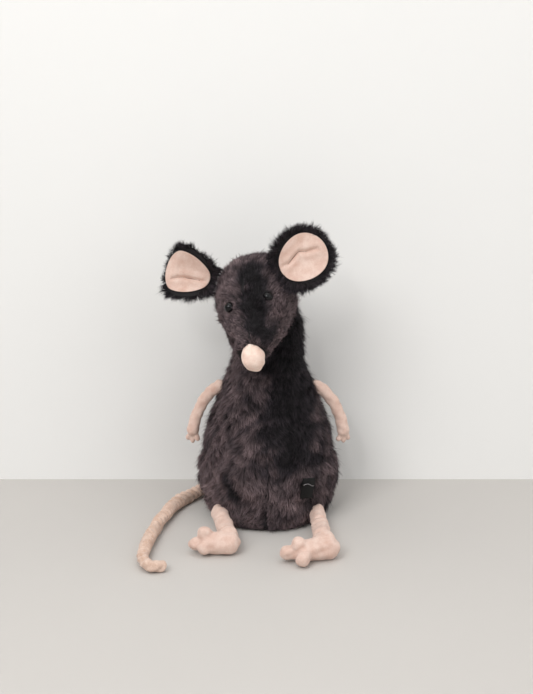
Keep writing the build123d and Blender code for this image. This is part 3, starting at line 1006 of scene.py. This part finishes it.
@dataclass
class Ear:
    """A cupped ear: a plush back that wraps round its rim, and a velour lining inside."""

    shop: Workshop
    head: Head
    side: Side
    azimuth_deg: float
    station_mm: float
    turn_deg: float
    lean_deg: float
    root_curl_mm: float
    tip_curl_mm: float
    lining_shift_mm: float
    bend_share: float
    fold_mm: tuple
    bend_mm: float = 38
    radius_mm: float = 30
    lining_mm: float = 24
    centre_mm: float = 25
    thick_mm: float = 4.2

    def __post_init__(self) -> None:
        """Works out the ear's own axes at its root, as the solids have them."""
        azimuth = math.radians(self.azimuth_deg)
        ring = math.sqrt(EAR_ROOT_REACH_MM**2 - self.station_mm**2)
        root = np.array([
            self.side.value * ring * math.sin(azimuth), ring * math.cos(azimuth), self.station_mm,
        ])
        self.root = self.head.out(root * MM)
        normal = Vector(root @ self.head.axes).normalized()
        snout = Vector(self.head.axes[2])
        back = (-snout + normal * snout.dot(normal)).normalized()
        hinge = Matrix.Rotation(math.radians(self.side.value * self.turn_deg), 3, normal) @ back
        out = Matrix.Rotation(math.radians(self.side.value * self.lean_deg), 3, hinge) @ normal
        face = out.cross(hinge) * self.side.value
        self.axes = np.array([out, face.cross(out), face])

    def sheet(self, a: Array, b: Array) -> Array:
        """The ear's middle surface in its own frame, in millimetres: cupped, tighter at the root."""
        share = np.clip(a / (self.centre_mm + self.radius_mm), 0, 1)
        curl = self.root_curl_mm + (self.tip_curl_mm - self.root_curl_mm) * share
        limit = 1.35
        turn = limit * np.tanh(b / curl / limit)
        over = np.maximum(a - self.bend_mm, 0)
        out = a - self.bend_share * over
        dish = -4.6 * (1 - ((a - self.centre_mm) / self.radius_mm) ** 2) - self.bend_share * over**2 / 22
        wave = 0.9 * np.sin(a / 7 + 1.3) * np.cos(b / 9) * share
        return np.stack([out, curl * np.sin(turn), curl * (1 - np.cos(turn)) + dish + wave], axis=-1)

    def crease(self, a: Array, b: Array) -> Array:
        """Depth of the fold pressed into the lining at each place, in millimetres."""
        nearest = np.full(len(a), 99.0)
        for (a0, b0), (a1, b1) in zip(self.fold_mm, self.fold_mm[1:]):
            run_a, run_b = a1 - a0, b1 - b0
            along = np.clip(((a - a0) * run_a + (b - b0) * run_b) / (run_a**2 + run_b**2), 0, 1)
            nearest = np.minimum(nearest, np.hypot(a - a0 - along * run_a, b - b0 - along * run_b))
        return 0.9 * bump(nearest - 4.5, 3.2) - 1.9 * bump(nearest, 1.5)

    def layer(
        self, name: str, radius: float, shift: float, thick: float, lift: float, pressed: bool = False,
    ) -> bpy.types.Object:
        """One padded layer of the ear.

        Args:
            name: The layer's name.
            radius: Its radius.
            shift: How far its middle lies beyond the ear's.
            thick: Its thickness at the middle.
            lift: How far its middle lies in front of the ear's middle surface.
            pressed: Whether the ear's fold shows in it.

        Returns:
            The layer as a closed form.
        """
        def place(u: Array, v: Array) -> Array:
            turn = 2 * math.pi * u
            front = v < 0.5
            share = np.where(front, 2 * v, 2 - 2 * v)
            reach = radius * share
            a = np.maximum(self.centre_mm + shift + reach * np.cos(turn), 0.4)
            b = reach * np.sin(turn)
            spot = self.sheet(a, b)
            step_a = self.sheet(a + 0.2, b) - spot
            step_b = self.sheet(a, b + 0.2) - spot
            normal = unit(np.cross(step_a, step_b))
            depth = thick / 2 * np.sqrt(np.maximum(1 - share**4, 0)) * np.where(front, 1, -1) + lift
            if pressed:
                depth = depth + self.crease(a - self.centre_mm - shift, b) * np.clip(3 - 3 * share, 0, 1)
            spot = spot + normal * depth[:, None]
            return self.root + (spot * MM) @ self.axes

        return wrapped(name, 96, 96, place)

    def comb(self, p: Array) -> Array:
        """The pile runs out from the root to the rim."""
        local = (p - self.root) @ self.axes.T
        a, b, c = local.T / MM
        front = c > self.sheet(a, b)[:, 2]
        start = np.where(front[:, None], np.array([self.centre_mm, 0, -4]), np.array([2, 0, -4])) * MM
        return (local - start) @ self.axes

    def build(self) -> list[bpy.types.Object]:
        """Builds the ear's back, its pile and its lining."""
        word = self.side.word
        back = self.layer(f"ear_{word}_plush", self.radius_mm, 0, self.thick_mm, 0)
        dress(back, self.shop.ground)
        lining = self.layer(
            f"ear_{word}_velour", self.lining_mm, self.lining_shift_mm, 1.6, self.thick_mm / 2 + 0.9,
            pressed=True)
        dress(lining, self.shop.pink)
        middle = self.centre_mm + self.lining_shift_mm

        def keep(p: Array) -> Array:
            local = (p - self.root) @ self.axes.T / MM
            a, b, c = local.T
            inside = np.hypot(a - middle, b) < self.lining_mm - 2.5
            return ~(inside & (c > self.sheet(a, b)[:, 2] - 0.4)) & (a > 1)

        pile = Hair(length=8 * MM, per_cm2=260, clump=3.5 * MM).grow(
            f"ear_{word}_pile", back, self.comb, self.shop.pile, keep=keep, seed=100 + self.side.value)
        for piece in (back, pile, lining):
            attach(piece, f"ear_{word}")
        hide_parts(f"ear_{word}_back")
        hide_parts(f"ear_{word}_lining")
        return [back, pile, lining]


@dataclass
class Arm:
    """A limp velour arm with three short fingers."""

    shop: Workshop
    side: Side
    path_mm: tuple = (SHOULDER_MM, (54.5, 0, 119), (63.5, 0, 108), (70.5, -1, 92), (73.2, -2, 80))
    radii_mm: tuple = (6.2, 6.0, 5.8, 5.7, 6.2)
    fingers_mm: tuple = ((-4.6, -2.5, -8), (0.2, 0.5, -10.5), (4.8, 1.5, -8))

    def build(self) -> list[bpy.types.Object]:
        """Builds the arm, with the seam along its inner edge."""
        flip = np.array([self.side.value, 1, 1])
        path = [np.array(p) * flip * MM for p in self.path_mm]
        radii = [r * MM for r in self.radii_mm]
        bars = [(*pair, *size) for pair, size in zip(zip(path, path[1:]), zip(radii, radii[1:]))]
        hand = path[-1]
        bars += [(hand, hand + np.array(f) * flip * MM, 3.4 * MM, 2.5 * MM) for f in self.fingers_mm]
        arm = moulded(f"arm_{self.side.word}_velour", bars, 0.8 * MM, 6)
        spots, up = coords(arm.data), normals(arm.data)
        press = 0.35 * ripple(spots, 8 * MM, 120 + self.side.value)
        inner = spots[:, 0] * self.side.value / MM
        height = spots[:, 2] / MM
        centre = np.interp(height, [p[2] for p in self.path_mm[::-1]], [p[0] for p in self.path_mm[::-1]])
        press -= 0.8 * bump(spots[:, 1] / MM + 1, 1.1) * (inner < centre)
        set_coords(arm.data, spots + up * (press * MM)[:, None])
        dress(arm, self.shop.pink)
        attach(arm, f"arm_{self.side.word}")
        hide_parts(f"arm_{self.side.word}_sleeve", f"arm_{self.side.word}_stuffing")
        return [arm]


@dataclass
class Leg:
    """A velour leg with its foot lying on its edge and three toes."""

    shop: Workshop
    side: Side
    ankle_mm: tuple
    bearing_deg: float
    length_mm: float
    toes: tuple
    fold_share: float = 0.4

    def build(self) -> list[bpy.types.Object]:
        """Builds the leg and foot as one sleeve that bends at the ankle."""
        hip = np.array(HIP_MM) * np.array([self.side.value, 1, 1]) * MM
        ankle = np.array(self.ankle_mm) * MM
        bearing = math.radians(self.bearing_deg)
        toes_way = np.array([math.cos(bearing), math.sin(bearing), 0])
        forward = np.array([-math.sin(bearing), math.cos(bearing), 0])
        heel = ankle + forward * 13 * MM + np.array([0, 0, 0.8]) * MM
        pad = heel + toes_way * self.length_mm * MM
        fold = hip + (ankle - hip) * self.fold_share
        instep = ankle + (heel - ankle) * 0.5 + np.array([0, 0, 5]) * MM
        bars = [
            (hip, fold, 7.6 * MM, 7.4 * MM), (fold + (ankle - fold) * 0.12, ankle, 8.2 * MM, 8.6 * MM),
            (ankle, heel, 8.8 * MM, 10.2 * MM), (heel, pad, 10.2 * MM, 9.2 * MM),
            (instep, pad - toes_way * 5 * MM + np.array([0, 0, 2]) * MM, 8.0 * MM, 7.0 * MM),
        ]
        for reach, rise, sway, radius in self.toes:
            rise, sway = math.radians(rise), math.radians(sway)
            level = toes_way * math.cos(sway) + forward * math.sin(sway)
            way = level * math.cos(rise) + np.array([0, 0, math.sin(rise)])
            bars.append((pad, pad + way * reach * MM, 6.0 * MM, radius * MM))
        leg = moulded(f"leg_{self.side.word}_velour", bars, 0.8 * MM, 9)
        spots, up = coords(leg.data), normals(leg.data)
        along = (spots - hip) @ unit(ankle - hip) / MM
        reach = np.linalg.norm(ankle - hip) / MM
        press = 0.5 * ripple(spots, 11 * MM, 130 + self.side.value)
        press -= 2.0 * bump(along - reach * self.fold_share, 1.7) + 0.9 * bump(along - reach * 0.88, 2.2)
        spots = spots + up * (press * MM)[:, None]
        spots[:, 2] = np.maximum(spots[:, 2], 0.15 * MM)
        set_coords(leg.data, spots)
        dress(leg, self.shop.pink)
        word = self.side.word
        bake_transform(leg)
        covered = [f"{part}_{word}_{layer}" for part in ("leg", "foot") for layer in ("sleeve", "stuffing")]
        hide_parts(*covered)
        return [leg]


@dataclass
class Tail:
    """A long velour sleeve gathered into ridges, lying on the table."""

    shop: Workshop
    path_mm: tuple = (
        (0, 50), (0, 59), (-11, 67.5), (-30, 66), (-51, 50), (-72, 22), (-88, -2.5), (-98.5, -37),
        (-105.5, -78), (-108.5, -111), (-107.5, -136), (-99, -149.5), (-86, -147),
    )
    root_mm: float = 8.0
    tip_mm: float = 5.6
    ridge_mm: float = 6.4

    def __post_init__(self) -> None:
        """Rounds the path and measures it."""
        points = np.array(self.path_mm, dtype=float)
        steps = np.concatenate([[0], np.cumsum(np.linalg.norm(np.diff(points, axis=0), axis=1))])
        slopes = np.gradient(points, steps, axis=0)
        fine = np.linspace(0, steps[-1], 800)
        k = np.clip(np.searchsorted(steps, fine, side="right") - 1, 0, len(steps) - 2)
        width = (steps[k + 1] - steps[k])[:, None]
        t = ((fine - steps[k])[:, None]) / width
        line = ((2 * t**3 - 3 * t**2 + 1) * points[k] + (t**3 - 2 * t**2 + t) * width * slopes[k]
                + (-2 * t**3 + 3 * t**2) * points[k + 1] + (t**3 - t**2) * width * slopes[k + 1])
        self.line = line
        self.run = np.concatenate([[0], np.cumsum(np.linalg.norm(np.diff(line, axis=0), axis=1))])

    def at(self, s: Array) -> tuple[Array, Array]:
        """Place and direction on the table at a distance along the tail."""
        spot = np.stack([np.interp(s, self.run, self.line[:, k]) for k in (0, 1)], axis=1)
        ahead = np.stack([np.interp(s + 0.5, self.run, self.line[:, k]) for k in (0, 1)], axis=1)
        behind = np.stack([np.interp(s - 0.5, self.run, self.line[:, k]) for k in (0, 1)], axis=1)
        return spot, unit(ahead - behind)

    def length(self, name: str, start: float, end: float, tip: bool) -> bpy.types.Object:
        """One length of the sleeve.

        Args:
            name: The length's name.
            start: Where it begins, in millimetres along the tail.
            end: Where it ends.
            tip: Whether it closes in a rounded tip.

        Returns:
            The length of sleeve.
        """
        whole = self.run[-1]

        def place(u: Array, v: Array) -> Array:
            s = start + (end - start) * v
            body = self.root_mm + (self.tip_mm - self.root_mm) * s / whole
            turn = 2 * math.pi * u
            skew = s + 2.4 * np.sin(turn + s / 31) + 1.2 * np.sin(2 * turn + s / 17)
            ridge = 0.5 + 0.5 * np.cos(2 * math.pi * (skew / self.ridge_mm + 0.5 * np.sin(s / 13)))
            deep = 0.2 + 0.09 * np.sin(s / 11 + 2 * turn) + 0.06 * np.sin(s / 4.7 - turn)
            uneven = 0.84 + deep * (ridge - 0.4) + 0.04 * np.sin(3 * turn + s / 6) + 0.03 * np.sin(s / 9)
            radius = body * uneven
            if tip:
                rest = np.clip((whole - s) / 5.2, 0, 1)
                radius = radius * np.sqrt(np.clip(1 - (1 - rest) ** 2, 0, 1))
            spot, way = self.at(s)
            side = np.stack([way[:, 1], -way[:, 0]], axis=1)
            across = radius * np.cos(turn)
            height = body + radius * np.sin(turn) * 0.96
            floor = np.maximum(height, 0.15)
            level = spot + side * across[:, None]
            return np.column_stack([level, floor]) * MM

        return wrapped(name, 40, int((end - start) * 1.5), place)

    def build(self) -> list[bpy.types.Object]:
        """Builds the tail in lengths that meet between its bends."""
        bends = [float(self.run[np.argmin(np.linalg.norm(self.line - np.array(p), axis=1))])
                 for p in ((0, 59), (-88, -2.5), (-108.5, -111))]
        whole = float(self.run[-1])
        cuts = [0, (bends[0] + bends[1]) / 2, (bends[1] + bends[2]) / 2, whole]
        names = ("tail_root", "tail_middle", "tail_tip")
        pieces = []
        for index, name in enumerate(names):
            piece = self.length(f"{name}_velour", cuts[index], cuts[index + 1], tip=index == 2)
            dress(piece, self.shop.tail)
            if index == 0:
                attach(piece, "tail_root")
            else:
                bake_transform(piece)
            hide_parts(f"{name}_sleeve", f"{name}_stuffing")
            pieces.append(piece)
        return pieces


@dataclass
class Label:
    """A plain folded satin label that lies on the pile at the toy's left hip."""

    shop: Workshop
    middle_mm: tuple = (36.5, -61.5, 42.5)
    width_mm: float = 13.5
    drop_mm: float = 20
    turn_deg: float = 32
    tilt_deg: float = 7

    def build(self) -> list[bpy.types.Object]:
        """Builds the folded label and the stitching across it."""
        turn = Matrix.Rotation(math.radians(self.turn_deg), 3, "Z")
        tilt = Matrix.Rotation(math.radians(self.tilt_deg), 3, "Y")
        axes = np.array((turn @ tilt).transposed())

        def bent(across: Array, up: Array, depth: Array) -> Array:
            bow = 0.9 * np.cos(across / self.width_mm * math.pi) + 0.6 * np.sin(up / 5)
            local = np.stack([across, -depth - bow, up], axis=1)
            return (np.array(self.middle_mm) + local @ axes) * MM

        def cloth(u: Array, v: Array) -> Array:
            turn = 2 * math.pi * v
            up = self.drop_mm / 2 * np.sign(np.cos(turn)) * np.abs(np.cos(turn)) ** 0.35
            depth = 0.65 * np.sin(turn)
            return bent((u - 0.5) * self.width_mm, up, depth)

        label = wrapped("side_label_satin", 24, 64, cloth)
        dress(label, self.shop.satin)

        def thread(u: Array, v: Array) -> Array:
            turn = 2 * math.pi * v
            across = (u - 0.5) * self.width_mm * 0.9
            up = 3.4 + 1.3 * np.sin(u * 5) + 0.3 * np.cos(turn)
            return bent(across, up, 0.8 + 0.3 * np.sin(turn) - 0.12 * np.cos(u * 40))

        stitch = wrapped("side_label_stitch", 48, 8, thread)
        dress(stitch, self.shop.stitch)
        for piece in (label, stitch):
            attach(piece, "torso")
        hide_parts("side_label")
        return [label, stitch]


@dataclass
class Inside:
    """The inner pieces that stay as the solids have them, with their own finishes."""

    shop: Workshop

    def build(self) -> None:
        """Dresses the pellets, their bag and the eyes' washers."""
        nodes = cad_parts
        finishes = {
            "pellet_bag": self.shop.cotton, "pellets": self.shop.beads,
            "eye_washer_left": self.shop.nylon, "eye_washer_right": self.shop.nylon,
        }
        for name, finish in finishes.items():
            for slot in nodes[name].material_slots:
                slot.material = finish
            if not nodes[name].material_slots:
                nodes[name].data.materials.append(finish)


@dataclass
class Stage:
    """A pale table and wall, soft studio light and the camera."""

    wall_y: float = 0.079
    lens_mm: float = 51.87
    camera_at: tuple = (-0.0015, -0.936, 0.370)
    camera_down_deg: float = 12.5
    daylight: float = 0.55

    def build(self) -> None:
        """Builds the table, the wall, the lights and the camera."""
        table = wrapped(
            "table", 4, 4, lambda u, v: np.stack([(u - 0.5) * 5, self.wall_y - v * 4, 0 * u], axis=1))
        dress(table, Grain("painted_board_grey", "#bdb9b4", "#c4c0bb", 400.0, 0.75).build())
        wall = wrapped(
            "wall", 4, 4, lambda u, v: np.stack([(u - 0.5) * 5, self.wall_y + 0 * u, v * 3], axis=1))
        dress(wall, Grain("emulsioned_wall_white", "#e6e5e2", "#eae9e6", 500.0, 0.9).build())
        self.light("key", (-0.9, -1.5, 1.6), size=1.0, power=23)
        self.light("fill", (1.4, -1.2, 0.9), size=1.6, power=9)
        self.light("top", (0, -0.3, 1.9), size=1.5, power=10)
        self.light("catch", (-0.3, -1.2, 0.9), size=0.1, power=1.2)
        world = bpy.data.worlds.new("studio")
        bpy.context.scene.world = world
        world.use_nodes = True
        world.node_tree.nodes["Background"].inputs["Color"].default_value = linear("#f6f7fa")
        world.node_tree.nodes["Background"].inputs["Strength"].default_value = self.daylight
        eye = bpy.data.cameras.new("camera")
        eye.lens, eye.sensor_width, eye.clip_start = self.lens_mm, 36, 0.05
        camera = bpy.data.objects.new("camera", eye)
        camera.location = self.camera_at
        camera.rotation_euler = (math.radians(90 - self.camera_down_deg), 0, 0)
        bpy.context.scene.collection.objects.link(camera)
        bpy.context.scene.camera = camera
        bpy.context.scene.view_settings.view_transform = "Standard"

    @staticmethod
    def light(name: str, place: tuple, size: float, power: float) -> None:
        """One large soft lamp that faces the toy."""
        data = bpy.data.lights.new(name, "AREA")
        data.size, data.energy = size, power
        lamp = bpy.data.objects.new(name, data)
        lamp.location = place
        aim = Vector((0, 0, 0.12)) - Vector(place)
        lamp.rotation_euler = aim.to_track_quat("-Z", "Y").to_euler()
        bpy.context.scene.collection.objects.link(lamp)


def main() -> None:
    """Builds the sub-assemblies in order and reports each piece."""
    logging.basicConfig(level=logging.INFO, format="%(message)s")
    Stage().build()
    shop = Workshop()
    head = Head(shop)
    makers = [
        Torso(shop), Neck(shop), head,
        Ear(
            shop, head, Side.LEFT, azimuth_deg=52, station_mm=11, turn_deg=56, lean_deg=57,
            root_curl_mm=24, tip_curl_mm=70, lining_shift_mm=3.5, bend_share=0,
            fold_mm=((-21, 6.7), (-14, 4.2), (-3, 6.6), (1, 7.2), (6.7, 2.8), (16.7, -1.4)),
        ),
        Ear(
            shop, head, Side.RIGHT, azimuth_deg=50, station_mm=-2, turn_deg=54, lean_deg=10,
            root_curl_mm=9, tip_curl_mm=52, lining_shift_mm=4.5, bend_share=0.5,
            fold_mm=((-20, 3), (2, 6), (12, 10)),
        ),
        Arm(shop, Side.LEFT), Arm(shop, Side.RIGHT),
        Leg(
            shop, Side.LEFT, ankle_mm=(49, -109.5, 9.4), bearing_deg=196, length_mm=20,
            toes=((10, 42, 0, 6.6), (18, -4, -8, 6.0), (14, -12, 58, 6.0)),
        ),
        Leg(
            shop, Side.RIGHT, ankle_mm=(-35, -99, 9.4), bearing_deg=180, length_mm=16,
            toes=((10, 60, -10, 6.8), (13, -4, -2, 6.2), (8.5, -14, 50, 6.0)),
        ),
        Tail(shop), Label(shop),
    ]
    for maker in makers:
        for piece in maker.build():
            LOG.info("%s: %d faces", piece.name, len(piece.data.polygons))
    Inside(shop).build()


if __name__ == "__main__":
    main()
